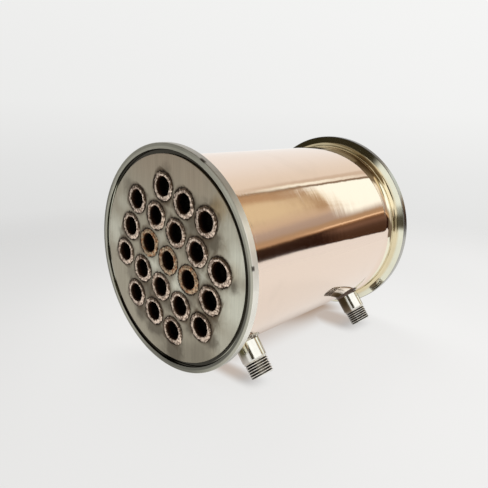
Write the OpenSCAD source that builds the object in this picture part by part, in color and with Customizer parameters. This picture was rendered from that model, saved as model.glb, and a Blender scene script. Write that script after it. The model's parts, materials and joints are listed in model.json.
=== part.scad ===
// Shell-and-tube condenser for a still column, lying on its flange rims and port tips.
// Axis along Y, ports towards +X and down, origin on the floor below the middle of the axis.
// Diameters grow outwards from the tubes: bundle, neck, shell, flange.

/* [Body] */
// Length from flange face to flange face
overall_length = 147; // [110:1:300]
// Wall of the copper shell
shell_wall = 2; // [1:0.1:3]

/* [Tubes] */
// Outside diameter of a tube
tube_od = 12; // [8:0.1:20]
// Wall of a tube
tube_wall = 1; // [0.6:0.1:1.5]
// Space between neighbouring tubes
tube_gap = 5; // [4:0.1:12]
// Angle from the ports to the nearest row of tubes
grid_turn = 28.5; // [0:0.5:45]
// Radial clearance of a tube in its sheet
tube_fit = 0.05; // [0.02:0.01:0.1]
// Depth of the tube's end below the sheet's surface
tube_recess = 0.25; // [0.1:0.05:0.6]
// How far a braze ring spreads from its tube
bead_width = 1.4; // [0.9:0.1:1.9]
// Height of a braze ring above the sheet
bead_height = 0.45; // [0.2:0.05:0.8]
// Space between the outermost braze ring and the bore of the neck
bundle_margin = 3.29; // [1:0.01:20]

/* [Tube sheets] */
// Thickness of each tube sheet
sheet_thickness = 3; // [2.4:0.1:3.8]
// Depth of the sheet's surface below the flange face
sheet_recess = 0.5; // [0:0.1:1]
// Chamfer on the edge of the sheet and of the gasket groove
sheet_chamfer = 0.2; // [0.1:0.05:0.4]

/* [Flanges] */
// How far a flange stands out from the shell
flange_reach = 6.6; // [5.5:0.1:10]
// Thickness of the flange rim before the clamp taper starts
rim_thickness = 3.5; // [2.8:0.1:5]
// Rounding of the rim's edges
rim_round = 0.4; // [0.2:0.1:1]
// Angle of the clamp taper on the back of the flange
taper_angle = 20; // [15:1:24]
// Radius of the hollow between taper and shell
shoulder_fillet = 3.2; // [2:0.1:3.9]
// Height of the flange shoulder above the shell
shoulder_step = 0.7; // [0.4:0.1:1]
// Wall of the neck that enters the shell
neck_wall = 2.1; // [1.5:0.1:3]
// Radial clearance between neck and shell
neck_fit = 0.1; // [0.05:0.05:0.3]
// Length of the neck inside the shell
neck_length = 9; // [5:0.5:20]
// Distance from the flange's edge to the middle of the gasket groove
groove_inset = 4.2; // [3.5:0.1:4.8]
// Width of the gasket groove
groove_width = 2.1; // [1.5:0.1:2.6]
// Depth of the gasket groove below the flange face
groove_depth = 1.7; // [1.2:0.1:2.2]
// Rounding at the bottom of the gasket groove
groove_round = 0.35; // [0.1:0.05:0.5]

/* [Baffles] */
// Thickness of a baffle
baffle_thickness = 1.5; // [1:0.1:3]
// Radial clearance between baffle and shell
baffle_fit = 0.4; // [0.2:0.1:0.8]
// Radial clearance of a tube in a baffle
baffle_hole_fit = 0.15; // [0.1:0.05:0.3]

/* [Ports] */
// Space between the end of the neck and the port beside it
port_gap = 1.65; // [1:0.05:12]
// Length of a port outside the shell
port_length = 19.7; // [15:0.1:40]
// Length of a port inside the shell's bore
port_insert = 1.5; // [0.5:0.1:2]
// Outside diameter of a port
port_od = 13.7; // [11:0.1:20]
// Wall of a port
port_wall = 2.25; // [1.8:0.05:2.8]
// Radial clearance between port and shell
port_fit = 0.1; // [0.05:0.05:0.2]
// How far the thread's crests lie inside the port's outside
thread_step = 0.27; // [0.05:0.01:0.4]
// Distance between thread crests
thread_pitch = 1.337; // [1:0.001:1.7]
// Number of crests
thread_turns = 6; // [3:1:8]
// Depth of the thread
thread_depth = 0.8; // [0.5:0.05:1]
// Width and height of the braze fillet at a port's foot
port_braze = 1.2; // [0.8:0.1:2]

/* [Hidden] */
$fn = 96;
row_reach = 2;        // rows of tubes on each side of the middle one
corner_count = 4;     // row plus column number at which a corner site stays empty
window_rows = 1.5;    // rows from the middle to a baffle's cut edge
baffle_count = 3;
fillet_stop = 16;     // degrees of the shoulder fillet left off at the shell's end
braze_step = 0.1;     // how far the shell's braze stays below the flange shoulder
braze_skirt = 1.2;    // how far a port's braze reaches below the shell's crown before it is cut
arc_steps = 8;
round_steps = 192;    // steps round a port's braze
fine_steps = 720;     // steps round the shell where a port's braze follows it
crest_share = 0.18;   // share of the pitch that is flat crest
root_share = 0.12;    // share of the pitch that is flat root
cut = 1;              // how far a cutting shape runs past what it cuts

half_length = overall_length / 2;
tube_r = tube_od / 2;
tube_in = tube_r - tube_wall;
tube_pitch = tube_od + tube_gap;
bead_r = tube_r + bead_width;
grid_step = [for (side = [-row_reach : row_reach]) side];
tube_sites = [for (row = grid_step, col = grid_step)
    if (abs(row) + abs(col) < corner_count) [col * tube_pitch, row * tube_pitch]];

// The neck goes round the bundle, the shell round the neck, and the flange round the shell
bundle_r = max([for (site = tube_sites) norm(site)]) + bead_r;
neck_in = bundle_r + bundle_margin;
neck_out = neck_in + neck_wall;
shell_in = neck_out + neck_fit;
shell_out = shell_in + shell_wall;
flange_r = shell_out + flange_reach;
groove_out = flange_r - groove_inset + groove_width / 2;
sheet_r = groove_out - groove_width;
sheet_seat = sheet_recess + sheet_thickness;

// Shoulder fillet: its centre and the axial stop that the shell meets
shoulder_r = shell_out + shoulder_step;
fillet_foot = shoulder_r + shoulder_fillet * (1 - sin(taper_angle));
fillet_foot_in = rim_thickness + (flange_r - fillet_foot) * tan(taper_angle);
fillet_centre = [shoulder_r + shoulder_fillet, fillet_foot_in + shoulder_fillet * cos(taper_angle)];
shell_stop = fillet_centre[1] - shoulder_fillet * sin(fillet_stop);
shoulder_end = fillet_centre[0] - shoulder_fillet * cos(fillet_stop);
shell_braze = shoulder_end - shell_out - braze_step;
neck_end = shell_stop + neck_length;

port_r = port_od / 2;
port_bore = port_r - port_wall;
port_inset = neck_end + port_gap + port_r;
port_reach = shell_out + port_length;
thread_r = port_r - thread_step;
thread_start = port_reach - thread_turns * thread_pitch;
tip_r = thread_r - thread_depth;
crest_half = thread_pitch * crest_share / 2;
root_half = thread_pitch * root_share / 2;
last_crest = port_reach - thread_pitch / 2 + crest_half;
baffle_gap = (overall_length - 2 * port_inset) / (baffle_count + 1);

// The body lies on both rims and on the port tips: the turn that brings a tip down to the floor
function drop(reach, radius) = asin(flange_r / norm([reach, radius])) - atan(radius / reach);
port_drop = min(drop(port_reach, tip_r), drop(last_crest, thread_r));
grid_angle = port_drop - grid_turn;

function two_digits(number) = str(number < 10 ? "0" : "", number);
function tube_name(index) = str("tube_", two_digits(index + 1));
function baffle_name(index) = str("baffle_", index + 1);
function arc(centre, radius, from, to) = [for (step = [0 : arc_steps])
    let (angle = from + (to - from) * step / arc_steps)
        centre + radius * [cos(angle), sin(angle)]];

tube_numbers = [0 : len(tube_sites) - 1];
baffle_numbers = [0 : baffle_count - 1];

// Puts a shape drawn round Z onto the lying axis, with its Z towards +Y
module on_axis() {
    translate([0, 0, flange_r]) rotate([-90, 0, 0]) children();
}

// Turns a shape whose Z starts at a flange face and runs inwards, at the front (-1) or rear (1) end
module from_face(end) {
    translate([0, 0, end * half_length]) rotate([end > 0 ? 180 : 0, 0, 0]) children();
}

module at_end(end) {
    on_axis() from_face(end) children();
}

// Puts a shape whose Z runs outwards from the shell's axis at the front (-1) or rear (1) port
module at_port(end) {
    on_axis() translate([0, 0, end * (half_length - port_inset)])
        rotate([0, 0, port_drop]) rotate([0, 90, 0]) children();
}

module at_tube(index) {
    on_axis() rotate([0, 0, grid_angle]) translate(tube_sites[index]) children();
}

module tube_holes(radius) {
    for (index = tube_numbers)
        at_tube(index) cylinder(r = radius, h = overall_length + 2 * cut, center = true);
}

module ring(outer, inner, height) {
    difference() {
        cylinder(r = outer, h = height);
        translate([0, 0, -cut]) cylinder(r = inner, h = height + 2 * cut);
    }
}

module shell() {
    color("peru") difference() {
        on_axis() translate([0, 0, shell_stop - half_length])
            ring(shell_out, shell_in, overall_length - 2 * shell_stop);
        for (end = [-1, 1])
            at_port(end) cylinder(r = port_r + port_fit, h = shell_out + cut);
    }
}

// Clamp flange and neck in one turned piece, with a seat for the tube sheet
module ferrule(end) {
    profile = concat(
        [[neck_in, sheet_seat], [sheet_r, sheet_seat], [sheet_r, groove_depth]],
        [[groove_out - groove_round, groove_depth], [groove_out, groove_depth - groove_round]],
        [[groove_out, sheet_chamfer], [groove_out + sheet_chamfer, 0]],
        arc([flange_r - rim_round, rim_round], rim_round, -90, 0),
        arc([flange_r - rim_round, rim_thickness], rim_round, 0, 90 - taper_angle),
        arc(fillet_centre, shoulder_fillet, 270 - taper_angle, 180 + fillet_stop),
        [[neck_out, shell_stop], [neck_out, neck_end], [neck_in, neck_end]]
    );
    color("silver") at_end(end) rotate_extrude() polygon(profile);
}

module tube_sheet(end) {
    profile = [
        [0, sheet_recess], [sheet_r - sheet_chamfer, sheet_recess],
        [sheet_r, sheet_recess + sheet_chamfer], [sheet_r, sheet_seat], [0, sheet_seat]
    ];
    color("darkgray") difference() {
        at_end(end) rotate_extrude() polygon(profile);
        tube_holes(tube_r + tube_fit);
    }
}

// Silver braze in the corner between the flange shoulder and the end of the shell
module shell_braze_ring(end) {
    profile = concat(
        arc([shell_out + shell_braze, shell_stop + shell_braze], shell_braze, 270, 180),
        [[shell_out, shell_stop]]
    );
    color("lightgray") at_end(end) rotate_extrude() polygon(profile);
}

// One raised ring of braze per tube: a half ellipse over the tube's end and the sheet beside it
module tube_welds(end) {
    tube_end = sheet_recess + tube_recess;
    half_width = (bead_r - tube_in) / 2;
    crown = [for (step = [0 : arc_steps])
        let (angle = 180 * step / arc_steps)
            [bead_r - half_width * (1 - cos(angle)), sheet_recess - bead_height * sin(angle)]];
    foot = [[tube_in, tube_end], [tube_r + tube_fit, tube_end], [tube_r + tube_fit, sheet_recess]];
    color("rosybrown") for (index = tube_numbers)
        at_tube(index) from_face(end) rotate_extrude($fn = 48) polygon(concat(crown, foot));
}

module tube(index) {
    tube_length = overall_length - 2 * (sheet_recess + tube_recess);
    color("sienna") at_tube(index) translate([0, 0, -tube_length / 2])
        ring(tube_r, tube_in, tube_length);
}

// Segment plate that turns the water across the tubes. The first and last windows face away from
// the ports, so the water has to cross the bundle, and the window changes side from one to the next
module baffle(index) {
    side = index % 2 == 0 ? 180 : 0;
    place = (index - (baffle_count - 1) / 2) * baffle_gap;
    plate_r = shell_in - baffle_fit;
    window = window_rows * tube_pitch;
    color("burlywood") difference() {
        on_axis() rotate([0, 0, grid_angle + side]) intersection() {
            translate([0, 0, place - baffle_thickness / 2])
                cylinder(r = plate_r, h = baffle_thickness);
            translate([window - 2 * plate_r, -plate_r, place - baffle_thickness])
                cube([2 * plate_r, 2 * plate_r, 2 * baffle_thickness]);
        }
        tube_holes(tube_r + baffle_hole_fit);
    }
}

// Water port: a plain nipple with a male thread of separate turned crests
module port(end) {
    crests = [for (turn = [0 : thread_turns - 1])
        let (middle = thread_start + (turn + 0.5) * thread_pitch)
        each [
            [tip_r, middle - thread_pitch / 2 + root_half], [thread_r, middle - crest_half],
            [thread_r, middle + crest_half], [tip_r, middle + thread_pitch / 2 - root_half]
        ]];
    foot = shell_in - port_insert;
    profile = concat(
        [[port_bore, foot], [port_r, foot], [port_r, thread_start - thread_depth / 2]],
        [[tip_r, thread_start]], crests, [[tip_r, port_reach], [port_bore, port_reach]]
    );
    color("gainsboro") at_port(end) rotate_extrude() polygon(profile);
}

module port_braze_ring(end) {
    profile = concat(
        arc([port_r + port_braze, shell_out + port_braze], port_braze, 180, 270),
        [[port_r + port_braze + braze_skirt / 2, shell_out - braze_skirt]],
        [[port_r, shell_out - braze_skirt]]
    );
    color("lightgray") difference() {
        at_port(end) rotate_extrude($fn = round_steps) polygon(profile);
        on_axis() cylinder(r = shell_out, h = overall_length, center = true, $fn = fine_steps);
    }
}

shell();
ferrule(-1);  // front_ferrule
ferrule(1);  // rear_ferrule
tube_sheet(-1);  // front_tube_sheet
tube_sheet(1);  // rear_tube_sheet
shell_braze_ring(-1);  // front_shell_braze
shell_braze_ring(1);  // rear_shell_braze
tube_welds(-1);  // front_tube_welds
tube_welds(1);  // rear_tube_welds
port(-1);  // front_port
port(1);  // rear_port
port_braze_ring(-1);  // front_port_braze
port_braze_ring(1);  // rear_port_braze
for (index = tube_numbers)
    tube(index);
for (index = baffle_numbers)
    baffle(index);
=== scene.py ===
"""Finishes, braze rings, threaded ports and stage for a packed shell-and-tube condenser."""

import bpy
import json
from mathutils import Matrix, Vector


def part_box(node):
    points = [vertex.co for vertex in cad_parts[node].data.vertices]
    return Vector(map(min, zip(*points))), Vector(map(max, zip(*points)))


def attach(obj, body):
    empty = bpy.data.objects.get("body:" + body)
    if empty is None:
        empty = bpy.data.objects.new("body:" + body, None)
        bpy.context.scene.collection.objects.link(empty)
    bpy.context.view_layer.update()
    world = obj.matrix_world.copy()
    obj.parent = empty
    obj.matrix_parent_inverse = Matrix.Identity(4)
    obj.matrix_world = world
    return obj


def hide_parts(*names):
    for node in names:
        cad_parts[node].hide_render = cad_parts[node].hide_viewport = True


bl_info = {
    "name": "Shell-and-tube condenser",
    "version": (1, 0, 0),
    "blender": (4, 5, 0),
    "location": "3D View > Sidebar > Condenser",
    "description": "Adds the finishes, braze rings, threaded ports and stage of a copper condenser",
    "category": "Add Mesh",
}

import json
import math
import random

import bpy
from bpy.props import FloatProperty, FloatVectorProperty, IntProperty, PointerProperty
from mathutils import Matrix, Vector, noise

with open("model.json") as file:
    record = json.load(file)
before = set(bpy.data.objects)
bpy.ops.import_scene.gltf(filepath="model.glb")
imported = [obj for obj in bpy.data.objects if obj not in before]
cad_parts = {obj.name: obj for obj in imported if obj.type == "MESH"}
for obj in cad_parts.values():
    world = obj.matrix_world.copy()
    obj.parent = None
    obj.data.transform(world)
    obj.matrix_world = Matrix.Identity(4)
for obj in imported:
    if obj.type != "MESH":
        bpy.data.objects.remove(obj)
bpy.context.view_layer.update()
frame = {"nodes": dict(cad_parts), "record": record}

MM = 0.001
DEGREE = math.pi / 180
ENDS = {"front": -1, "rear": 1}
MOUNTS = {mount["name"]: mount for mount in frame["record"]["mounts"]}

AXIS_Z = MOUNTS["centre_tube_bore"]["pos_m"][2]
TUBE_BORE = MOUNTS["centre_tube_bore"]["dims"]["r_mm"] * MM
TUBE_NAMES = sorted(name for name in frame["nodes"] if name.startswith("tube_"))
TUBE_END = abs(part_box("tube_11")[0].y)
SHEET_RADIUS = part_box("front_tube_sheet")[1].x
SHEET_FACE = -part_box("front_tube_sheet")[0].y
FLANGE_RADIUS = MOUNTS["front_clamp_rim"]["dims"]["r_mm"] * MM
FLANGE_FACE = -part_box("front_ferrule")[0].y
GROOVE_WIDTH = 2.1 * MM
GROOVE_MIDDLE = SHEET_RADIUS + GROOVE_WIDTH / 2
PORT_PLACE = abs(MOUNTS["front_port_bore"]["pos_m"][1])
PORT_OUT = Vector(MOUNTS["front_port_bore"]["axis"]).normalized()


def middle(node):
    """Centre of a tube in the plane across the axis, measured from the axis."""
    low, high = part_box(node)
    return Vector(((low.x + high.x) / 2, (low.z + high.z) / 2 - AXIS_Z))


TUBE_SITES = [middle(name) for name in TUBE_NAMES]
NEIGHBOURS = sorted(TUBE_SITES, key=lambda site: site.length)[1:5]
TUBE_PITCH = sum(site.length for site in NEIGHBOURS) / len(NEIGHBOURS)
ROW = max(NEIGHBOURS, key=lambda site: site.x).normalized()
COLUMN = Vector((-ROW.y, ROW.x))
BEAD_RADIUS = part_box("front_tube_welds")[1].x - max(site.x for site in TUBE_SITES)
BEAD_HEIGHT = -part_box("front_tube_welds")[0].y - SHEET_FACE


# ---- sizes and colours that a user would change


def length(name, description, default, low, high):
    return FloatProperty(name=name, description=description, default=default, min=low, max=high,
                         unit="LENGTH", subtype="DISTANCE", precision=5)


def angle(name, description, default):
    return FloatProperty(name=name, description=description, default=default * DEGREE,
                         unit="ROTATION", subtype="ANGLE")


def colour(name, description, default):
    return FloatVectorProperty(name=name, description=description, default=default, min=0, max=1,
                               size=3, subtype="COLOR")


class MetalColours(bpy.types.PropertyGroup):
    """Colours of the metals"""

    copper: colour("Copper", "Polished copper of the shell", (0.88, 0.73, 0.625))
    steel: colour("Steel", "Polished steel of the flanges", (0.86, 0.855, 0.7))
    heat_tint: colour("Heat tint", "Straw tint of the steel beside the braze", (0.8, 0.69, 0.46))
    rim: colour("Rim", "Satin edge of the flanges", (0.58, 0.57, 0.53))
    turned_steel: colour("Turned steel", "Satin face of the flanges", (0.25, 0.245, 0.205))
    sheet: colour("Sheet", "Brushed steel of the tube sheets", (0.35, 0.318, 0.248))
    sheet_warm: colour("Warm sheet", "Sheet that the torch has warmed", (0.37, 0.3, 0.225))
    sheet_light: colour("Clean sheet", "Sheet that stayed bright between the tubes",
                        (0.63, 0.63, 0.535))
    soot: colour("Heat mark", "Dark heat marks beside the rings", (0.035, 0.024, 0.016))
    port: colour("Port steel", "Polished steel of the ports", (0.8, 0.79, 0.74))
    fillet: colour("Fillet", "Silver braze at the flanges and ports", (0.66, 0.62, 0.52))
    tube: colour("Tube", "Oxidised copper inside the tubes", (0.12, 0.055, 0.032))
    baffle: colour("Baffle", "Plain copper sheet of the baffles", (0.6, 0.33, 0.22))


class RingSizes(bpy.types.PropertyGroup):
    """Braze rings round the tube mouths"""

    radius: length("Outside radius", "Mean outside radius of a ring", BEAD_RADIUS, 0.001, 0.02)
    bore: length("Bore radius", "Radius of the open tube mouth", TUBE_BORE, 0.001, 0.02)
    height: length("Height", "Height of a ring above the sheet", BEAD_HEIGHT, 0.0001, 0.002)
    lump: length("Lumps", "How far the outline of a ring wanders", 0.00042, 0, 0.001)
    silver: colour("Silver", "Fresh braze", (0.72, 0.59, 0.49))
    dimmed: colour("Dull", "Oxidised braze in the hollows", (0.13, 0.075, 0.048))
    gold: colour("Gold", "Braze that ran hottest, at the middle row", (0.5, 0.37, 0.23))


class PortSizes(bpy.types.PropertyGroup):
    """Threaded water ports"""

    body: length("Body radius", "Radius of the plain part",
                 (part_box("front_port")[1].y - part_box("front_port")[0].y) / 2, 0.002, 0.02)
    bore: length("Bore radius", "Radius of the water passage",
                 MOUNTS["front_port_bore"]["dims"]["r_mm"] * MM, 0.001, 0.02)
    crest: length("Crest radius", "Radius over the thread",
                  MOUNTS["front_port_thread"]["dims"]["r_mm"] * MM, 0.002, 0.02)
    depth: length("Thread depth", "Depth of the thread", 0.0008, 0.0001, 0.002)
    pitch: length("Pitch", "Distance between crests", 0.001337, 0.0005, 0.005)
    turns: IntProperty(name="Crests", description="Number of crests", default=6, min=1, max=20)


class StageSizes(bpy.types.PropertyGroup):
    """Floor, light and camera"""

    floor_radius: length("Floor radius", "Radius of the floor", 1.2, 0.1, 5)
    floor: colour("Floor", "Colour of the floor", (0.86, 0.855, 0.845))
    ambient: FloatProperty(name="Ambient light", description="Even light from all sides",
                           default=0.8, min=0, max=2)
    lamp: FloatProperty(name="Lamp power", description="Power of the soft lamp", default=12,
                        min=0, max=100, unit="POWER")
    heading: angle("Heading", "Camera's turn from the axis", 42.6913)
    pitch: angle("Pitch", "How far the camera looks down", 15.5355)
    roll: angle("Roll", "Camera's tilt sideways", 1.8775)
    lens: FloatProperty(name="Lens", description="Focal length on a 36 mm sensor, in mm",
                        default=36.184, min=10, max=200)
    place: FloatVectorProperty(name="Camera place", description="Where the camera stands",
                               default=(0.19082, -0.2228, 0.13627), subtype="TRANSLATION",
                               unit="LENGTH")


class CondenserSettings(bpy.types.PropertyGroup):
    """All settings of the condenser"""

    metals: PointerProperty(type=MetalColours)
    rings: PointerProperty(type=RingSizes)
    ports: PointerProperty(type=PortSizes)
    stage: PointerProperty(type=StageSizes)


# ---- shader nodes as expressions


class Wire:
    """A node's output. Arithmetic on it adds Math nodes to the same material."""

    def __init__(self, paint, socket):
        self.paint, self.socket = paint, socket

    def math(self, operation, *others):
        return self.paint.add("ShaderNodeMath", {"operation": operation}, [self, *others])

    def __add__(self, other):
        return self.math("ADD", other)

    def __mul__(self, other):
        return self.math("MULTIPLY", other)

    def __sub__(self, other):
        return self.math("SUBTRACT", other)

    def __rsub__(self, other):
        return self.paint.add("ShaderNodeMath", {"operation": "SUBTRACT"}, [other, self])

    def __truediv__(self, other):
        return self.math("DIVIDE", other)

    def __abs__(self):
        return self.math("ABSOLUTE")

    __radd__, __rmul__ = __add__, __mul__


class Paint:
    """The nodes of one material or world."""

    def __init__(self, tree):
        self.tree = tree
        tree.nodes.clear()

    def add(self, kind, settings=None, inputs=(), output=0):
        node = self.tree.nodes.new(kind)
        for name, value in (settings or {}).items():
            if name == "stops":
                self.set_stops(node.color_ramp, value)
            else:
                setattr(node, name, value)
        for key, value in inputs.items() if isinstance(inputs, dict) else enumerate(inputs):
            socket = node.inputs[key]
            if isinstance(value, Wire):
                self.tree.links.new(value.socket, socket)
            elif socket.type == "RGBA" and len(value) == 3:
                socket.default_value = (*value, 1)
            else:
                socket.default_value = value
        return Wire(self, node.outputs[output]) if len(node.outputs) else node

    @staticmethod
    def set_stops(ramp, stops):
        while len(ramp.elements) < len(stops):
            ramp.elements.new(1)
        for element, (position, tone) in zip(ramp.elements, stops):
            element.position = position
            element.color = (*tone, 1)

    def place(self):
        """Where a point is, in millimetres."""
        spot = self.add("ShaderNodeTexCoord", output="Object")
        return self.vector("SCALE", spot, Scale=1 / MM)

    def vector(self, operation, first, second=(0, 0, 0), output=0, **others):
        inputs = {0: first, **others}
        if operation not in ("SCALE", "LENGTH"):
            inputs[1] = second
        return self.add("ShaderNodeVectorMath", {"operation": operation}, inputs, output)

    def split(self, vector):
        first = self.add("ShaderNodeSeparateXYZ", None, [vector])
        return [Wire(self, socket) for socket in first.socket.node.outputs]

    def join(self, x, y, z):
        return self.add("ShaderNodeCombineXYZ", None, [x, y, z])

    def ramp(self, value, low, high):
        """0 below low and 1 above high, with a soft step between. It falls if low is above high."""
        return self.add("ShaderNodeMapRange", {"interpolation_type": "SMOOTHSTEP"},
                        [value, low, high])

    def near(self, value, middle, reach, full):
        """1 within `full` of the middle, and 0 from `reach` on."""
        return self.ramp(abs(value - middle), reach, full)

    def hill(self, value, foot, top, edge, end):
        """Rises from 0 to 1 between foot and top, and falls back to 0 between edge and end."""
        return self.ramp(value, foot, top) * self.ramp(value, end, edge)

    def blend(self, value, stops):
        """A colour that runs through the stops as the value goes from 0 to 1."""
        return self.add("ShaderNodeValToRGB", {"stops": stops}, [value])

    @staticmethod
    def most(first, *others):
        """The largest of several values."""
        for other in others:
            first = first.math("MAXIMUM", other)
        return first

    @staticmethod
    def hypot(first, second):
        return (first * first + second * second).math("SQRT")

    def noise(self, vector, stretch, detail=3, rough=0.5, twist=0):
        """Clouds, `stretch` of them to a millimetre: one number, or one for each direction."""
        if isinstance(stretch, (int, float)):
            stretch = (stretch,) * 3
        stretched = self.vector("MULTIPLY", vector, stretch)
        return self.add("ShaderNodeTexNoise", None,
                        {"Vector": stretched, "Scale": 1, "Detail": detail, "Roughness": rough,
                         "Distortion": twist})

    def mix(self, factor, first, second):
        return self.add("ShaderNodeMix", {"data_type": "RGBA"}, {0: factor, 6: first, 7: second}, 2)

    def layers(self, tone, layers):
        """Lay colours over a tone one after the other, each with its own share."""
        for share, over in layers:
            tone = self.mix(share, tone, over)
        return tone

    def shade(self, colour, factor):
        """The colour times a number."""
        return self.vector("SCALE", colour, Scale=factor)

    def spots(self, place, spots, core):
        """The sum of soft round spots: across, up, reach and strength of each."""
        total = 0
        for across, up, reach, strength in spots:
            gap = self.vector("DISTANCE", place, (across, up, 0), "Value")
            total = total + strength * self.ramp(gap, reach, core * reach)
        return total

    def attribute(self, name):
        """A number that the mesh carries at its points."""
        return self.add("ShaderNodeAttribute", {"attribute_name": name}, output="Fac")

    def ray_is(self, kind):
        """1 for rays of one kind, and 0 for the others."""
        return self.add("ShaderNodeLightPath", output=f"Is {kind} Ray")

    def bump(self, height, depth, before=None):
        """Relief of the height's pattern, depth metres for each unit of it."""
        inputs = {"Height": height, "Distance": depth, "Strength": 1}
        if before:
            inputs["Normal"] = before
        return self.add("ShaderNodeBump", None, inputs)

    def metal(self, colour, roughness, relief):
        shader = self.add("ShaderNodeBsdfPrincipled", None,
                          {"Base Color": colour, "Roughness": roughness, "Metallic": 1,
                           "Normal": relief})
        self.add("ShaderNodeOutputMaterial", None, {"Surface": shader})


def new_material(name):
    material = bpy.data.materials.new(name)
    material.use_nodes = True
    return material, Paint(material.node_tree)


def coat(material, *nodes):
    for node in nodes:
        frame["nodes"][node].material_slots[0].material = material


def both(ending):
    """The like nodes of both ends."""
    return [end + ending for end in ENDS]


def from_axis(paint, place):
    """x and z from the condenser's axis, and y along it, in millimetres."""
    x, y, z = paint.split(place)
    return x, y, z - AXIS_Z / MM


# ---- meshes


def add_object(name, data):
    item = bpy.data.objects.new(name, data)
    bpy.context.scene.collection.objects.link(item)
    return item


def new_piece(name, points, faces, material, values=None):
    mesh = bpy.data.meshes.new(name)
    mesh.from_pydata(points, [], faces)
    mesh.update()
    mesh.polygons.foreach_set("use_smooth", [True] * len(mesh.polygons))
    for key, numbers in (values or {}).items():
        mesh.attributes.new(key, "FLOAT", "POINT").data.foreach_set("value", numbers)
    mesh.materials.append(material)
    return add_object(name, mesh)


def band(first, count, steps):
    """Faces round a closed band: `count` loops of `steps` points, from the point `first` on."""
    faces = []
    for loop in range(count):
        here, after = first + loop * steps, first + (loop + 1) % count * steps
        for step in range(steps):
            beside = (step + 1) % steps
            faces.append((here + step, here + beside, after + beside, after + step))
    return faces


def turns(steps):
    """The angles of even steps round a circle."""
    return [2 * math.pi * step / steps for step in range(steps)]


def limited(value):
    """The value, kept from 0 to 1."""
    return min(1, max(0, value))


# ---- pieces


class CONDENSER_OT_shell(bpy.types.Operator):
    """Polish the copper shell"""

    bl_idname = "condenser.shell"
    bl_label = "Shell"

    WAVE, RIPPLE, LINE = 0.11 * MM, 0.03 * MM, 0.02 * MM  # how deep the polish is uneven

    def execute(self, context):
        metals = context.scene.condenser.metals
        material, paint = new_material("polished_copper")
        place = paint.place()
        x, y, z = from_axis(paint, place)
        up = z / paint.hypot(x, z)  # 1 on top and -1 below
        lines = paint.noise(place, (0.05, 1.1, 0.05), 3, 0.6)
        ripples = paint.noise(place, (0.03, 0.16, 0.03), 2, 0.5)
        waves = paint.noise(place, (0.03, 0.05, 0.03), 1, 0.4)
        scuffed = paint.ramp(y + 40 * paint.noise(place, (0.06, 0.04, 0.06)), 28, -26)
        tarnish = paint.ramp(paint.noise(place, (0.022, 0.03, 0.022), 3, 0.55), 0.52, 0.72)
        dark_patch = paint.ramp(y + 8 * (ripples - 0.5), 56, 60.5)
        dark_patch = dark_patch * paint.hill(up, 0.68, 0.76, 0.96, 1)
        silvered = paint.ramp(y, 61.3, 62.1) * paint.hill(up, -0.75, -0.5, 0.66, 0.74)
        tone = paint.layers(metals.copper, (
            (tarnish * 0.35, tuple(part * 0.86 for part in metals.copper)),
            (dark_patch * 0.75, (0.28, 0.19, 0.12)),
            (silvered * 0.9, (0.93, 0.9, 0.72)),
        ))
        relief = paint.bump(waves, self.WAVE)
        relief = paint.bump(ripples, self.RIPPLE, relief)
        relief = paint.bump(lines * (0.15 + scuffed), self.LINE, relief)
        # the rear end is eased out a little where it meets its flange
        over = (y - 50 - 8 * paint.ramp(up, -0.65, 0.4)).math("MAXIMUM", 0)
        eased = over * over * (0.006 + 0.0017 * over) * paint.ramp(up, 0.78, 0.68)
        relief = paint.bump(eased, MM, relief)
        paint.metal(tone, 0.045 + 0.05 * scuffed, relief)
        coat(material, "shell")
        return {"FINISHED"}


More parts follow.
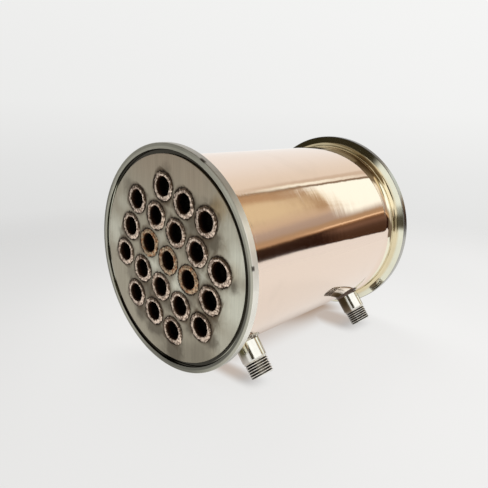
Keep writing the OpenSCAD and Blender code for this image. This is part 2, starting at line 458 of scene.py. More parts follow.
class CONDENSER_OT_flanges(bpy.types.Operator):
    """Turn and polish both flanges and their braze lines"""

    bl_idname = "condenser.flanges"
    bl_label = "Flanges"

    TURNING = 0.01 * MM  # depth of the turning marks on the face
    NICK_RADIUS = 59  # millimetres
    NICKS = ((10, 1.6), (64, 2.6), (180, 1), (251, 1.4))  # degrees round the rim, reach

    def execute(self, context):
        metals = context.scene.condenser.metals
        coat(self.flange_finish(metals), *both("_ferrule"))
        coat(self.braze_finish(metals), *both("_shell_braze"))
        return {"FINISHED"}

    @classmethod
    def flange_finish(cls, metals):
        material, paint = new_material("flange_steel")
        place = paint.place()
        x, y, z = from_axis(paint, place)
        away = paint.hypot(x, z)
        across, up = x / away, z / away  # from -1 to 1
        radius, end = FLANGE_RADIUS / MM, FLANGE_FACE / MM
        rear = paint.ramp(y, -1, 1)
        face = paint.ramp(abs(y), end - 0.1, end - 0.02)
        front = paint.ramp(abs(y), end - 2.4, end - 2.2)
        rim = paint.ramp(away, radius - 0.42, radius - 0.3) * (1 - face)
        tint = paint.ramp(away, radius - 2.5, radius - 4.5) * (1 - front)
        circles = paint.noise(paint.join(away, 0, 0), (3.2, 1, 1), 3, 0.65)
        cloud = paint.noise(place, 0.08, 3, 0.5)

        # painted shade: the gasket groove is painted black, with a painted highlight line on its
        # floor and painted shade on its wall
        from_groove = away - GROOVE_MIDDLE / MM
        shaded = paint.ramp(across, -0.96, -0.74)
        groove_shade = paint.ramp(abs(from_groove), 0.7 + 0.6 * shaded, 0.35 + 0.77 * shaded) * front
        groove_highlight = paint.near(from_groove, 0.35, 0.28, 0.1) * paint.ramp(abs(up), 0.85, 0.6)
        groove_shade = groove_shade * (1 - 0.5 * groove_highlight * shaded)
        wall_shade = paint.ramp(abs(from_groove), 1.5, 1.15) * front * (1 - shaded)

        # painted light and shade: the turned face is brighter towards the light, and the other way
        # round on its outer ring
        inner = 1.5 - 0.95 * paint.ramp(across - 1.2 * up, 0.1, 1.3)
        outer = 1.1 + 0.75 * paint.ramp(across + 0.1 * up, 0.2, 0.9)
        outer = outer - 0.4 * paint.ramp(up, -0.8, -1) - 0.4 * paint.ramp(across, -0.7, -0.95)
        turned_and_lit = inner + (outer - inner) * paint.ramp(away, radius - 1.9, radius - 1.5)
        turned_and_lit = turned_and_lit * (0.55 + 0.9 * circles)

        # painted highlight and shade: the satin rim is painted brightest at the right of the front
        # flange, and painted dim on top of the rear one
        bright = 0.75 * paint.ramp(across - 0.25 * abs(up - 0.1), 0.55, 0.85)
        bright = bright + 0.15 * paint.near(up, 0.38, 0.16, 0.06)
        dimmed = 0.1 + 0.62 * paint.ramp(up, 0.68, 0.82) + 0.38 * paint.near(up, 0.2, 0.24, 0.12)
        lit = (0.85 + bright * (1 - rear)) * (1 - rear * dimmed)

        # painted shade on the rear flange: a dark patch on its taper a little above level, and over
        # its top
        dark_patch = paint.near(up, 0.17, 0.11, 0.04) * paint.ramp(across, 0, 0.1) * 0.75
        dark_patch = paint.most(dark_patch, paint.ramp(up, 0.72, 0.86) * 0.5)
        dark_patch = dark_patch * rear * (1 - rim) * (1 - face)
        nicks = paint.spots(paint.join(x, z, 0), [
            (math.cos(turn * DEGREE) * cls.NICK_RADIUS, math.sin(turn * DEGREE) * cls.NICK_RADIUS,
             reach, 1) for turn, reach in cls.NICKS], 0.4)
        edge = paint.ramp(away, radius - 0.8, radius - 0.5) * paint.ramp(y, 1.5 - end, 0.9 - end)

        tone = paint.layers(metals.steel, (
            (tint, metals.heat_tint),
            (rim, paint.shade(metals.rim, lit)),
            (face, paint.shade(metals.turned_steel, turned_and_lit)),
        ))
        tone = paint.layers(paint.shade(tone, 0.85 + 0.3 * cloud), (
            (dark_patch, (0.16, 0.12, 0.05)),
            (wall_shade * 0.6, (0.05, 0.045, 0.035)),
            (groove_shade * 0.97, (0.012, 0.009, 0.006)),
            (nicks * edge * 0.9, metals.soot),
        ))
        rough = 0.06 + 0.26 * face + rim * (0.4 - 0.26 * rear) + 0.06 * cloud
        paint.metal(tone, rough, paint.bump(circles * face, cls.TURNING))
        return material

    @staticmethod
    def braze_finish(metals):
        material, paint = new_material("shell_braze")
        lumps = paint.noise(paint.place(), 0.4, 4, 0.6)
        tone = paint.shade(metals.heat_tint, 0.7 + 0.4 * lumps)
        paint.metal(tone, 0.06 + 0.12 * lumps, paint.bump(lumps, 0.04 * MM))
        return material


class CONDENSER_OT_tube_sheets(bpy.types.Operator):
    """Brush both tube sheets, with heat marks and patches of painted light and shade"""

    bl_idname = "condenser.tube_sheets"
    bl_label = "Tube sheets"

    GRAIN, SPATTER = 0.01 * MM, 0.1 * MM  # depth of the brushing and of the soot round a ring
    # soft patches on the sheet, partly heat marks and partly painted light and shade: x and z from
    # the axis, reach in millimetres, strength
    WARM = ((0, 56, 34, 0.8), (24, 42, 16, 0.5), (-24, 46, 18, 0.4))
    PALER = ((-10, -4, 12, 0.8), (10, -11, 11, 1), (26, -3, 9, 0.6), (51, -12, 18, 1),
             (50, 12, 12, 1), (45, 24, 10, 0.5), (42, -32, 13, 0.4), (-47, 8, 13, 0.7),
             (-8, 14, 10, 0.3), (-38, 25, 9, 0.3))
    DARKER_PATCHES = ((21, 24, 13, 1.1), (16, 8, 9, 0.5), (33, 17, 9, 1.2), (33, 33, 8, 0.9),
                (-2, 45, 7, 0.7), (-25, -33, 10, 1.2), (-12, -40, 11, 1.6), (4, -47, 11, 1),
                (-17, -19, 9, 1), (33, -21, 7, 0.8), (-33, 33, 7, 0.6), (6, -56, 24, 0.5),
                (25, -44, 14, 0.5), (47, -1, 6, 1), (0, -24, 8, 1.1), (17, -17, 7, 0.6),
                (17, -32, 7, 0.9), (33, -33, 8, 0.9), (-33, -15, 8, 0.6), (-41, 9, 5, 0.5))
    GOLDEN = ((37, 34, 9, 0.8), (47, 6, 6, 0.3))

    def execute(self, context):
        metals = context.scene.condenser.metals
        material, paint = new_material("brushed_sheet")
        place = paint.place()
        x, _, z = from_axis(paint, place)
        cloud = paint.noise(place, 0.09, 4, 0.55)
        wisps = paint.noise(place, (0.22, 1, 0.16), 4, 0.6, 0.6)
        here = paint.join(x + 10 * (wisps - 0.5), z + 10 * (cloud - 0.5), 0)
        warm, lightened, darkened, golden = (
            paint.spots(here, patches, 0.15).math("MINIMUM", 1)
            for patches in (self.WARM, self.PALER, self.DARKER_PATCHES, self.GOLDEN))
        from_ring, has_tube = self.nearest_ring(paint, x, z)
        speckle = paint.noise(place, 0.9, 4, 0.65)
        outline = paint.ramp(from_ring + 2.6 * (speckle - 0.5), 1.1, 0.2) * has_tube
        spread = paint.ramp(cloud, 0.44, 0.64)
        halo = paint.ramp(from_ring + 3 * (wisps - 0.5), 2.6 + 2.4 * spread, -0.1) * has_tube
        halo = halo * (0.72 + 0.28 * spread) * (1 - 0.45 * paint.ramp(paint.hypot(x, z), 30, 12))
        grain = paint.noise(place, (3.2, 1, 0.05), 4, 0.7)
        streaks = paint.noise(place, (0.45, 1, 0.012), 3, 0.6)
        tone = paint.layers(metals.sheet, (
            (warm, metals.sheet_warm),
            (lightened * 0.9, metals.sheet_light),
            (darkened * 0.78, (0.085, 0.068, 0.047)),
            (golden * 0.55, (0.42, 0.3, 0.15)),
        ))
        tone = paint.layers(paint.shade(tone, 0.52 + 0.6 * grain + 0.36 * streaks), (
            (halo, (0.085, 0.058, 0.034)),
            (outline, metals.soot),
        ))
        relief = paint.bump(grain, self.GRAIN)
        relief = paint.bump(speckle * outline, self.SPATTER, relief)
        paint.metal(tone, 0.3 + 0.12 * streaks + 0.3 * outline, relief)
        coat(material, *both("_tube_sheet"))
        return {"FINISHED"}

    @staticmethod
    def nearest_ring(paint, x, z):
        """How far the nearest ring on the tubes' grid is, and whether the grid has a tube there."""
        pitch = TUBE_PITCH / MM
        along = (x * ROW.x + z * ROW.y) / pitch
        across = (x * COLUMN.x + z * COLUMN.y) / pitch
        column, row = along.math("ROUND"), across.math("ROUND")
        off_x, off_z = (along - column) * pitch, (across - row) * pitch
        from_ring = paint.hypot(off_x, off_z) - BEAD_RADIUS / MM
        # five by five tubes without the four corners
        in_square = paint.ramp(paint.most(abs(column), abs(row)), 2.6, 2.4)
        off_corner = paint.ramp(abs(column) + abs(row), 3.6, 3.4)
        return from_ring, in_square * off_corner


class CONDENSER_OT_tubes(bpy.types.Operator):
    """Darken the copper tubes"""
    # Colour the copper tubes: oxide at the mouths, painted shade deeper in, and a painted glint

    bl_idname = "condenser.tubes"
    bl_label = "Tubes"

    def execute(self, context):
        metals = context.scene.condenser.metals
        material, paint = new_material("oxidised_and_shaded_tube")
        place = paint.place()
        depth = TUBE_END / MM - abs(paint.split(place)[1])
        stain = paint.noise(place, (0.5, 0.3, 0.5), 4, 0.6)
        mouth = paint.ramp(depth + 5 * (stain - 0.5), 2.6, 0.2)
        glint = paint.near(depth + 6 * (stain - 0.5), 8, 4, 1)
        # painted shade: nearly black deeper in than the mouth, with a painted glint further in
        tone = paint.layers((0.02, 0.014, 0.01), (
            (mouth, metals.tube),
            (glint, (0.12, 0.11, 0.085)),
        ))
        paint.metal(tone, 0.35 + 0.3 * stain, paint.bump(stain, 0.1 * MM))
        coat(material, *TUBE_NAMES)
        return {"FINISHED"}


class CONDENSER_OT_baffles(bpy.types.Operator):
    """Finish the baffles"""

    bl_idname = "condenser.baffles"
    bl_label = "Baffles"

    def execute(self, context):
        metals = context.scene.condenser.metals
        material, paint = new_material("plain_copper_sheet")
        place = paint.place()
        stain = paint.noise(place, 0.12, 5, 0.6)
        grain = paint.noise(place, (2.5, 1, 0.1), 3, 0.6)
        tone = paint.shade(metals.baffle, 0.6 + 0.7 * stain)
        paint.metal(tone, 0.3 + 0.2 * stain, paint.bump(grain, 0.01 * MM))
        coat(material, *(name for name in frame["nodes"] if name.startswith("baffle_")))
        return {"FINISHED"}


class CONDENSER_OT_tube_rings(bpy.types.Operator):
    """Lay a lumpy ring of braze round every tube mouth"""

    bl_idname = "condenser.tube_rings"
    bl_label = "Tube rings"

    STEPS = 120  # points round a ring
    SEEDS = {"front": 11, "rear": 47}
    # across a ring, from its outer foot over both crests to the tube's bore: reach from the
    # outside, height above the sheet, share of the lumps, darkness: soot at the foot, and painted
    # shade between the crests and down into the mouth
    SECTION = (
        (0, -0.3, 1, 1), (0, 0.02, 1, 1), (0.06, 0.3, 1, 0.6), (0.13, 0.5, 0.95, 0.35),
        (0.24, 0.5, 0.9, 0.38), (0.32, 0.34, 0.8, 0.6), (0.4, 0.5, 0.7, 0.4),
        (0.49, 0.85, 0.6, 0.1), (0.62, 1, 0.5, 0), (0.76, 0.95, 0.4, 0), (0.88, 0.7, 0.35, 0.3),
        (0.97, 0.25, 0.3, 1), (1, -0.3, 0.3, 1.3), (1, -1, 0, 1.3), (0.6, -1, 0, 1))
    SUNK = -0.9  # below this height a ring is hidden, and its mouth stays round
    HIGHEST = FLANGE_FACE - 0.01 * MM
    # where a ring catches the light, and where painted shade browns its outer crest and a painted
    # highlight leaves it pale
    LIT, BROWNED, PALER = 10 * DEGREE, 55 * DEGREE, -80 * DEGREE
    # waves of the outline: how often each changes on the way round, and its share of a lump
    WAVES = ((1.4, 0.9), (4.2, 1.1), (11, 0.6))
    # where braze may have run out of a ring, in degrees, how far in lumps, and how narrowly
    SPILL_FROM, SPILL_TO, SPILL, SPILL_POWER = -65, 35, 2.2, 12
    # warmth of the hottest rings and of the centre, its reach in tubes, and its chance part
    HOTTEST, CENTRE, WARM_REACH, CHANCE = 0.85, 0.35, 2.4, 0.08

    def execute(self, context):
        sizes = context.scene.condenser.rings
        material = self.finish(context.scene.condenser)
        for end, side in ENDS.items():
            points, faces, edges, warmths, lights = [], [], [], [], []
            draw = random.Random(self.SEEDS[end])
            for site in TUBE_SITES:
                warmth = self.warmth(site, draw)
                first = len(points)
                ring = self.ring(site, side, sizes, draw)
                for total, part in zip((points, edges, lights), zip(*ring)):
                    total += part
                warmths += [warmth] * len(ring)
                loops = band(first, len(self.SECTION), self.STEPS)
                faces += loops if side < 0 else [face[::-1] for face in loops]
            piece = new_piece(end + "_braze_rings", points, faces, material,
                              {"edge": edges, "warmth": warmths, "light": lights})
            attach(piece, "root")
            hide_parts(end + "_tube_welds")
        return {"FINISHED"}

    def warmth(self, site, draw):
        """How golden a ring is: the three in the middle of the centre row ran hottest."""
        column, row = site.dot(ROW) / TUBE_PITCH, site.dot(COLUMN) / TUBE_PITCH
        hot = abs(row) < 0.5 and abs(column) < 1.5
        central = max(0, 1 - site.length / (self.WARM_REACH * TUBE_PITCH))
        warmth = self.HOTTEST if hot else self.CENTRE * central
        return warmth + draw.uniform(-self.CHANCE, self.CHANCE)

    def ring(self, site, side, sizes, draw):
        """The points of a ring, each with its darkness and the light that it catches."""
        origin = draw.uniform(0, 100)
        spill = draw.uniform(self.SPILL_FROM, self.SPILL_TO) * DEGREE
        spilt = self.SPILL * draw.uniform(0, 1) ** 2

        def wander(spot, often, layer):
            """Chance that changes softly on the way round."""
            return noise.noise(spot * often + Vector((0, 0, origin + 20 * layer)))

        outline = []
        for turn in turns(self.STEPS):
            spot = Vector((math.cos(turn), math.sin(turn), 0))
            waves = [wander(spot, often, layer) for layer, (often, _) in enumerate(self.WAVES)]
            lump = sum(part * wave for wave, (_, part) in zip(waves, self.WAVES))
            lump += spilt * max(0, math.cos(turn - spill)) ** self.SPILL_POWER
            mouth = wander(spot, 2.2, 3) + 0.5 * wander(spot, 6, 4)
            outline.append((turn, lump, waves[1] + 0.9 * waves[2], mouth))
        points = []
        width = sizes.radius - sizes.bore
        for reach, height, part, dark in self.SECTION:
            for turn, lump, swell, mouth in outline:
                radius = sizes.radius - reach * width + lump * sizes.lump * part * 1.3
                if height > self.SUNK:
                    radius += (0.9 * mouth + 0.15 - 0.5 * math.cos(turn)) * sizes.lump * reach
                swollen = 0.32 * swell - 0.16 if height > 0 else 0
                depth = min(SHEET_FACE + height * sizes.height * (1 + swollen), self.HIGHEST)
                point = Vector((site.x + radius * math.cos(turn), side * depth,
                                AXIS_Z + site.y + radius * math.sin(turn)))
                brown_shade = 0
                # painted shade and highlight, the same way round on every ring
                if 0 < reach < 0.45:  # the outer crest
                    brown_shade = 0.5 * max(0, math.cos(turn - self.BROWNED))
                    brown_shade -= 0.45 * max(0, math.cos(turn - self.PALER))
                points.append((point, dark + brown_shade, 0.5 + 0.5 * math.cos(turn - self.LIT)))
        return points

    @staticmethod
    def finish(settings):
        sizes = settings.rings
        material, paint = new_material("tube_braze")
        place = paint.place()
        edge, warmth, light = (paint.attribute(name) for name in ("edge", "warmth", "light"))
        pits = paint.noise(place, 0.75, 4, 0.6)
        blotch = paint.noise(place, 0.4, 3, 0.6)
        silver = paint.mix(paint.ramp(blotch, 0.48, 0.64) * 0.75, sizes.silver, sizes.dimmed)
        gold = paint.mix(paint.ramp(blotch, 0.46, 0.6), sizes.gold, (0.38, 0.17, 0.07))
        shine = 0.7 + (0.35 + 0.35 * light) * paint.ramp(pits, 0.56, 0.42)
        tone = paint.shade(paint.mix(warmth, silver, gold), (1 - 0.1 * warmth) * shine)
        pitted = paint.ramp(pits, 0.52, 0.6) * (0.6 - 0.35 * warmth)
        # soot and painted shade: soot at each ring's foot, painted shade on its outer crest and
        # down into its mouth
        soot_and_shade = paint.ramp(edge + 2 * (pits - 0.5), 0.3, 0.75) * (1 - 0.75 * warmth)
        soot = paint.mix(paint.ramp(edge, 0.92, 1), (0.085, 0.052, 0.026), settings.metals.soot)
        tone = paint.layers(tone, ((pitted, sizes.dimmed), (soot_and_shade, soot)))
        paint.metal(tone, 0.29 + 0.2 * pits, paint.bump(pits, 0.35 * MM))
        return material


class CONDENSER_OT_ports(bpy.types.Operator):
    """Turn both water ports, with their threads cut as one helix"""

    bl_idname = "condenser.ports"
    bl_label = "Ports"

    STEPS = 128  # points round a port
    ROWS_PER_PITCH = 16
    PLAIN_ROWS = (0.0, 0.3, 0.6, 1.0)  # shares of the plain part
    TIP_GAP = 0.05 * MM  # between the last fine row and the tip
    CREST, ROOT = 0.16, 0.12  # shares of the pitch that are flat
    # in pitches before the thread's start: where the rows get fine, the body swells to the
    # crests, the thread runs in and the metal is freshly cut
    FINE_ROWS, SWELL, RUN_IN, CUT = 1.3, 0.9, 0.55, 0.6
    SWELL_LENGTH, RUN_IN_LENGTH = 0.35, 0.9  # in pitches
    CHAMFER, CHAMFER_SLOPE = 0.1 * MM, 1.05  # at the tip
    MOUTH = 0.35 * MM  # chamfer of the water passage

    def execute(self, context):
        sizes = context.scene.condenser.ports
        material = self.finish(context.scene.condenser.metals)
        for end in ENDS:
            mount = MOUNTS[end + "_port_bore"]
            out = Vector(mount["axis"]).normalized()
            half = mount["dims"]["length_mm"] * MM / 2
            foot = Vector(mount["pos_m"]) - out * half
            points, faces, depths, cuts = self.nipple(foot, out, 2 * half, sizes)
            piece = new_piece(end + "_threaded_port", points, faces, material,
                              {"depth": depths, "cut": cuts})
            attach(piece, "root")
            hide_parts(end + "_port")
        return {"FINISHED"}

    def outside(self, sizes, reach, height, turn):
        """Radius of the outside at a height above the foot, and how deep the thread is there."""
        above = height - (reach - sizes.turns * sizes.pitch)
        swell = limited((above + self.SWELL * sizes.pitch) / (self.SWELL_LENGTH * sizes.pitch))
        radius = sizes.body + (sizes.crest - sizes.body) * swell
        phase = (above / sizes.pitch - turn / (2 * math.pi)) % 1
        flank = abs(phase - 0.5) * 2
        deep = limited((flank - self.CREST) / (1 - self.ROOT - self.CREST))
        deep *= limited((above / sizes.pitch + self.RUN_IN) / self.RUN_IN_LENGTH)
        chamfer = max(0, reach - height) * self.CHAMFER_SLOPE - self.CHAMFER
        return min(radius - deep * sizes.depth, sizes.crest - sizes.depth + chamfer), deep

    def nipple(self, foot, out, reach, sizes):
        """Points and faces of a port, how deep the thread is at each point, and how freshly cut."""
        along = Vector((0, 1, 0))
        side = out.cross(along)
        start = reach - sizes.turns * sizes.pitch
        plain = start - self.FINE_ROWS * sizes.pitch
        rise = sizes.pitch / self.ROWS_PER_PITCH
        rows = int((reach - self.TIP_GAP - plain) / rise)
        heights = [part * plain for part in self.PLAIN_ROWS]
        heights += [plain + rise * (row + 1) for row in range(rows)] + [reach]
        around = turns(self.STEPS)
        loops = [(height, [self.outside(sizes, reach, height, turn) for turn in around],
                  limited((height - start) / sizes.pitch + self.CUT)) for height in heights]
        passage = ((reach, sizes.bore + self.MOUTH), (reach - self.MOUTH, sizes.bore),
                   (0.0, sizes.bore))
        loops += [(height, [(radius, 0.0)] * self.STEPS, 1.0) for height, radius in passage]
        points, depths, cuts = [], [], []
        for height, section, cut in loops:
            for turn, (radius, deep) in zip(around, section):
                ray = along * math.cos(turn) + side * math.sin(turn)
                points.append(foot + out * height + ray * radius)
                depths.append(deep)
                cuts.append(cut)
        return points, band(0, len(loops), self.STEPS), depths, cuts

    @staticmethod
    def finish(metals):
        material, paint = new_material("polished_port")
        place = paint.place()
        x, y, z = from_axis(paint, place)
        depth, cut = paint.attribute("depth"), paint.attribute("cut")
        cloud = paint.noise(place, 0.3, 3, 0.5)
        scratches = paint.noise(place, (0.6, 6, 0.6), 3, 0.6)
        streaks = paint.noise(place, 1.6, 2, 0.5)
        height = x * PORT_OUT.x + z * PORT_OUT.z
        aside = x * -PORT_OUT.z + z * PORT_OUT.x
        rear = paint.ramp(y, -10, 10)
        # painted shade: the side towards the front flange is browned, and the rear port most
        along = (abs(y) - PORT_PLACE / MM) * (2 * rear - 1)
        turn = (0 - aside).math("ARCTAN2", 0 - along) * (1 / DEGREE) + 6 * (streaks - 0.5)
        brown_shade = paint.ramp(turn, -27, -14) * paint.most(paint.ramp(turn, 95, 70), rear)
        brown_shade = paint.most(brown_shade, paint.ramp(turn, -140, -150) * rear)
        low = paint.ramp(height, 63.5, 58)
        front_shade = paint.mix(low * paint.ramp(turn, 18, 5),
                                (0.5, 0.47, 0.43), (0.13, 0.12, 0.07))
        rear_shade = paint.mix(low, (0.15, 0.115, 0.08), (0.075, 0.055, 0.03))
        # painted reflection: the thread's grooves are lighter over a band of turns on the front
        # port
        lit_grooves = paint.hill(turn, -95, -60, -48, -30) * (1 - rear)
        # painted shade: the thread's grooves are painted dark
        groove_shade = paint.ramp(depth, 0.2, 0.55) * (0.97 - 0.25 * lit_grooves)
        tone = paint.layers(paint.shade(metals.port, 0.85 + 0.3 * cloud), (
            (brown_shade, paint.mix(rear, front_shade, rear_shade)),
            (cut * (1 - 0.5 * brown_shade) * 0.85, (0.97, 0.96, 0.92)),
            (groove_shade, paint.mix(lit_grooves, (0.015, 0.013, 0.01), (0.1, 0.085, 0.05))),
        ))
        paint.metal(tone, 0.07 + 0.1 * cloud + 0.2 * cut, paint.bump(scratches, 0.003 * MM))
        return material


class CONDENSER_OT_port_fillets(bpy.types.Operator):
    """Finish the braze fillets at the feet of the ports"""

    bl_idname = "condenser.port_fillets"
    bl_label = "Port fillets"

    def execute(self, context):
        metals = context.scene.condenser.metals
        material, paint = new_material("port_braze")
        place = paint.place()
        y = paint.split(place)[1]
        lumps = paint.noise(place, 0.55, 4, 0.6)
        # painted shade: the rear fillet is dark brown on its side towards the front flange, the
        # front fillet in scattered marks
        past = y - PORT_PLACE / MM + 6 * (lumps - 0.5)
        brown_shade = paint.most(paint.ramp(y, 0, 1) * paint.ramp(past, 3.5, 0.5),
                             paint.ramp(y, 0, -1) * paint.ramp(lumps, 0.46, 0.54))
        tone = paint.shade(metals.fillet, 0.7 + 0.6 * lumps)
        tone = paint.mix(brown_shade * 0.92, tone, (0.085, 0.05, 0.038))
        paint.metal(tone, 0.16 + 0.2 * lumps, paint.bump(lumps, 0.25 * MM))
        coat(material, *both("_port_braze"))
        return {"FINISHED"}


class CONDENSER_OT_stage(bpy.types.Operator):
    """Lay the floor and set the light and the camera"""

    bl_idname = "condenser.stage"
    bl_label = "Stage"

    FLOOR_STEPS, FLOOR_LOOPS = 96, (0.15, 0.3, 0.6, 1.0)
    FLOOR_FADE = (0.24, 0.44)  # metres from the middle
    LAMP_SIZE, LAMP_PLACE = 0.9, Vector((-0.75, 0.35, 0.95))
    SENSOR = 36  # millimetres

    # the backdrop's greys from 45 degrees below level to 10 above, darkest at the sweep's bend
    SWEEP = ((0, 0.8), (0.42, 0.75), (0.56, 0.74), (0.7, 0.79), (0.82, 0.86), (1, 0.885))
    # the warm room's colours from 12 degrees below level to 44 above
    ROOM = (
        (0, (0.06, 0.03, 0.014)), (0.16, (0.075, 0.037, 0.021)), (0.21, (0.095, 0.05, 0.031)),
        (0.265, (0.19, 0.105, 0.068)), (0.305, (0.17, 0.09, 0.05)), (0.325, (0.36, 0.2, 0.1)),
        (0.342, (0.64, 0.43, 0.26)), (0.362, (0.5, 0.33, 0.19)), (0.4, (0.46, 0.32, 0.2)),
        (0.43, (0.46, 0.36, 0.29)), (0.5, (0.5, 0.4, 0.33)), (0.56, (0.66, 0.52, 0.38)),
        (0.7, (0.78, 0.65, 0.43)), (0.86, (0.79, 0.66, 0.43)), (0.93, (0.62, 0.45, 0.27)),
        (1, (0.56, 0.42, 0.24)))
    # dark things, most of them behind the camera: turn and rise in degrees, each with its
    # reach and core, and how dark
    DARK_THINGS = (
        ((166, 4, 2), (-1, 15, 10), 0.5), ((166, 11, 7), (-5, 6.5, 4.5), 0.9),
        ((150, 14, 11), (23.5, 11.5, 8), 1), ((112, 12, 8), (10, 6, 4), 0.85),
        ((150, 8, 6), (-5, 6.5, 4.5), 0.85), ((-3, 12, 8), (-3.5, 6.5, 4.5), 0.7))

    def execute(self, context):
        stage = context.scene.condenser.stage
        self.lay_floor(stage)
        self.light(context, stage)
        self.hang_lamp(stage)
        self.set_camera(context, stage)
        context.scene.view_settings.view_transform = "Standard"
        return {"FINISHED"}

    @classmethod
    def lay_floor(cls, stage):
        steps = cls.FLOOR_STEPS
        circle = [Vector((math.cos(turn), math.sin(turn), 0)) for turn in turns(steps)]
        points = [Vector((0, 0, 0))]
        for radius in cls.FLOOR_LOOPS:
            points += [ray * radius * stage.floor_radius for ray in circle]
        faces = [(0, 1 + step, 1 + (step + 1) % steps) for step in range(steps)]
        for loop in range(len(cls.FLOOR_LOOPS) - 1):
            inner, outer = 1 + loop * steps, 1 + (loop + 1) * steps
            for step in range(steps):
                beside = (step + 1) % steps
                faces.append((inner + step, outer + step, outer + beside, inner + beside))
        material = cls.floor_finish(tuple(stage.floor))
        new_piece("floor", points, faces, material)

    @classmethod
    def floor_finish(cls, colour):
        material, paint = new_material("floor")
        spot = paint.add("ShaderNodeTexCoord", output="Object")
        away = paint.vector("LENGTH", spot, output="Value")
        x, y, _ = paint.split(spot)
        to_camera, to_mirror = paint.ray_is("Camera"), paint.ray_is("Glossy")
        # the light falls off outwards and to one side
        dip = (away * away).math("SMOOTH_MIN", 0.03, 0.02)
        level = 0.992 + 0.513 * x + 0.076 * y - 2.83 * dip
        # warm shadows under the shell and its two ports
        right, back = x * (1 / MM), y * (1 / MM)
        under = paint.hill(right, -30, -10, 6, 30) * (0.5 + 0.5 * paint.ramp(back, 0, 45))
        under = under * paint.hill(back, -60, -45, 58, 75)
        tips = paint.most(paint.near(back, 48, 17, 4), paint.near(back, -52.5, 9, 1))
        tips = paint.hill(right, 4, 16, 36, 52) * 0.66 * tips
        shadow = paint.mix(paint.ramp(right, 28, 44), (0.5, 0.37, 0.28), (0.4, 0.38, 0.37))
        shadow = paint.mix(paint.most(under, tips), (1, 1, 1), shadow)
        tone = paint.vector("MULTIPLY", paint.shade(colour, level), shadow)
        # polished metal mirrors a plainer floor, with one soft shadow
        below = paint.ramp(abs(x), 0.04, 0.012) * paint.ramp(abs(y), 0.085, 0.05)
        mirrored = paint.mix(below * 0.7, (0.9, 0.895, 0.875), (0.42, 0.32, 0.25))
        tone = paint.mix(to_mirror, tone, mirrored)
        diffuse = paint.add("ShaderNodeBsdfDiffuse", None, {"Color": tone})
        shine = paint.add("ShaderNodeEmission", None, {"Color": tone, "Strength": 1})
        clear = paint.add("ShaderNodeBsdfTransparent")
        lift, faded = to_camera * 0.87 + to_mirror * 0.9, paint.ramp(away, *cls.FLOOR_FADE)
        surface = paint.add("ShaderNodeMixShader", None, [lift, diffuse, shine])
        surface = paint.add("ShaderNodeMixShader", None, [faded, surface, clear])
        paint.add("ShaderNodeOutputMaterial", None, {"Surface": surface})
        return material

    @classmethod
    def light(cls, context, stage):
        """Light evenly all round, with a backdrop for the camera and a room for mirrors."""
        world = bpy.data.worlds.new("studio_light")
        context.scene.world = world
        world.use_nodes = True
        paint = Paint(world.node_tree)
        x, y, z = paint.split(paint.add("ShaderNodeTexCoord", output="Generated"))
        turn = x.math("ARCTAN2", y) * (1 / DEGREE)
        rise = z.math("ARCSINE") * (1 / DEGREE)
        mirrored = cls.rest_of_room(paint, turn, rise, cls.tent(paint, turn, rise))
        seen = paint.mix(paint.ray_is("Glossy"), (stage.ambient,) * 3, mirrored)
        seen = paint.mix(paint.ray_is("Camera"), seen, cls.backdrop(paint, turn, rise))
        background = paint.add("ShaderNodeBackground", None, {"Color": seen, "Strength": 1})
        paint.add("ShaderNodeOutputWorld", None, {"Surface": background})

    @classmethod
    def backdrop(cls, paint, turn, rise):
        stops = [(at, (grey, grey, grey * 0.99)) for at, grey in cls.SWEEP]
        return paint.shade(paint.blend((rise + 45) / 55, stops), 1 + 0.0012 * (turn + 43))

    @classmethod
    def tent(cls, paint, turn, rise):
        """A pale tent behind the condenser, with a gap into a warm room."""
        jag = paint.noise(paint.join(turn, 0, 0), (0.7, 1, 1), 2, 0.6) - 0.5
        pale = paint.mix(paint.ramp(rise, 2, -8), (0.95, 0.945, 0.93), (0.9, 0.895, 0.88))
        warm = paint.ramp(turn, -36, 6) * paint.ramp(rise, 14, 27)
        low = -8.7 + 0.4 * paint.most(turn - 27, 0).math("MINIMUM", 11.5)
        gap = (paint.ramp(turn - 0.2 * (rise - 33), 9.2, 10.4) * paint.ramp(turn, 60, 54)
               * paint.ramp(rise, 60, 50) * paint.ramp(rise - low + 2.4 * jag, -0.3, 0.3))
        # beside the gap the cloth has a fold, a bright strip and a dark hem
        slant = turn - 10.6 - 0.35 * (rise - 33)
        high = paint.hill(rise, 24, 28, 41, 46)
        strip = paint.near(slant, -3.6, 2.1, 0.9) * paint.hill(rise, 28, 36, 40, 42.5)
        return paint.layers(pale, (
            (warm, (0.86, 0.79, 0.69)),
            (paint.near(slant, -6.4, 4, 1) * high * 0.8, (0.66, 0.55, 0.44)),
            (strip, (1.1, 1.14, 1.02)),
            (gap, cls.warm_room(paint, turn, rise, jag)),
            (paint.near(slant, -0.7, 1.6, 0.7) * high * 0.9, (0.2, 0.13, 0.07)),
        ))

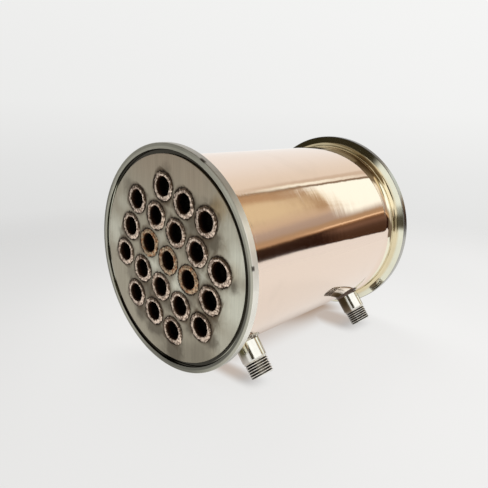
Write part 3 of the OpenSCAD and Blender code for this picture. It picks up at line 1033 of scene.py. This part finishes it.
    @classmethod
    def warm_room(cls, paint, turn, rise, jag):
        black = paint.ramp(turn + 3 * jag, 33.5, 35.5) * paint.ramp(rise - 2 * jag, 6.4, 5.2)
        thread = paint.near(rise - 2 * jag, 7.1, 0.75, 0.2) * paint.ramp(turn, 36.5, 35)
        brown = paint.ramp(turn + 3 * jag, 23, 20.5) * paint.ramp(rise, 32, 34)
        reach = paint.hypot(turn, rise) + 0.25 * (turn - 10) + 2 * jag
        streak = paint.near(reach, 40.2, 2, 0.6) * paint.ramp(rise, 17, 24)
        bright = paint.ramp(reach, 39.8, 36) * paint.ramp(rise, 9.5, 16)
        beside = paint.ramp(turn, 43.5, 46) * paint.hill(rise, 11, 18, 40, 44)
        post = paint.near(turn, 42.5, 5, 3.5) * paint.ramp(rise, 23, 27)
        return paint.layers(paint.blend((rise + 12) / 56, cls.ROOM), (
            (black * 0.95, (0.022, 0.008, 0.004)),
            (thread * 0.9, (1, 0.72, 0.47)),
            (brown * 0.9, (0.5, 0.33, 0.19)),
            (streak * 0.8, (0.43, 0.28, 0.15)),
            (bright, (1.2, 1.3, 1.22)),
            (beside, (1.15, 1.14, 1.08)),
            (post * 0.85, (0.12, 0.09, 0.06)),
        ))

    @classmethod
    def rest_of_room(cls, paint, turn, rise, tone):
        """A dark ceiling, a window over a table to the right, and dark things all round."""
        dusk = paint.mix(paint.ramp(turn, 0, -40), (0.12, 0.075, 0.03), (0.32, 0.26, 0.17))
        ceiling = paint.most(
            paint.ramp(rise, 48, 58) * (1 - 0.75 * paint.near(turn, -90, 36, 16)),
            paint.near(turn, 75, 62, 50) * paint.ramp(rise, 42, 48),
            paint.ramp(abs(turn), 118, 132) * paint.ramp(rise, 37, 43) * 0.85)
        window = paint.near(turn, 98, 44, 38) * paint.hill(rise, 15, 20, 42, 47)
        table = paint.hill(turn, 46, 52, 80, 128) * paint.ramp(rise, -9, -7)
        corner = paint.hill(turn, -174, -169, -122, -112) * paint.near(rise, 18, 22, 17)
        things = [paint.near(turn, *across) * paint.near(rise, *up) * strength
                  for across, up, strength in cls.DARK_THINGS]
        return paint.layers(tone, (
            (ceiling * 0.95, dusk),
            (window, (1.25, 1.25, 1.22)),
            (table * paint.ramp(rise, 18, 12) * 0.7, (0.5, 0.38, 0.28)),
            (table * paint.ramp(rise, 10, 5) * 0.85, (0.1, 0.06, 0.036)),
            (paint.most(corner, *things), (0.05, 0.04, 0.022)),
        ))

    @classmethod
    def hang_lamp(cls, stage):
        lamp = bpy.data.lights.new("soft_lamp", "AREA")
        lamp.shape, lamp.size, lamp.energy = "DISK", cls.LAMP_SIZE, stage.lamp
        holder = add_object("soft_lamp", lamp)
        holder.location = cls.LAMP_PLACE
        holder.rotation_euler = (-cls.LAMP_PLACE).to_track_quat("-Z", "Y").to_euler()
        holder.visible_glossy = False

    @classmethod
    def set_camera(cls, context, stage):
        camera = bpy.data.cameras.new("camera")
        camera.sensor_width = camera.sensor_height = cls.SENSOR
        camera.lens = stage.lens
        camera.clip_start = 0.01
        holder = add_object("camera", camera)
        turn = (Matrix.Rotation(stage.heading, 4, "Z")
                @ Matrix.Rotation(math.pi / 2 - stage.pitch, 4, "X")
                @ Matrix.Rotation(stage.roll, 4, "Z"))
        holder.matrix_world = Matrix.Translation(stage.place) @ turn
        context.scene.camera = holder


# ---- panel and registration


OPERATORS = (CONDENSER_OT_shell, CONDENSER_OT_flanges, CONDENSER_OT_tube_sheets,
             CONDENSER_OT_tubes, CONDENSER_OT_baffles, CONDENSER_OT_tube_rings,
             CONDENSER_OT_ports, CONDENSER_OT_port_fillets, CONDENSER_OT_stage)
GROUPS = (MetalColours, RingSizes, PortSizes, StageSizes, CondenserSettings)


class CONDENSER_PT_panel(bpy.types.Panel):
    """Settings and steps of the condenser"""

    bl_idname = "CONDENSER_PT_panel"
    bl_label = "Condenser"
    bl_space_type = "VIEW_3D"
    bl_region_type = "UI"
    bl_category = "Condenser"

    def draw(self, context):
        settings = context.scene.condenser
        for title in ("metals", "rings", "ports", "stage"):
            box = self.layout.box()
            box.label(text=title.capitalize())
            group = getattr(settings, title)
            for key in group.__annotations__:
                box.prop(group, key)
        for step in OPERATORS:
            self.layout.operator(step.bl_idname)


def register():
    for kind in (*GROUPS, *OPERATORS, CONDENSER_PT_panel):
        bpy.utils.register_class(kind)
    bpy.types.Scene.condenser = PointerProperty(type=CondenserSettings)


def unregister():
    del bpy.types.Scene.condenser
    for kind in reversed((*GROUPS, *OPERATORS, CONDENSER_PT_panel)):
        bpy.utils.unregister_class(kind)


def main():
    register()
    for step in OPERATORS:
        group, name = step.bl_idname.split(".")
        getattr(getattr(bpy.ops, group), name)()


if __name__ == "__main__":
    main()
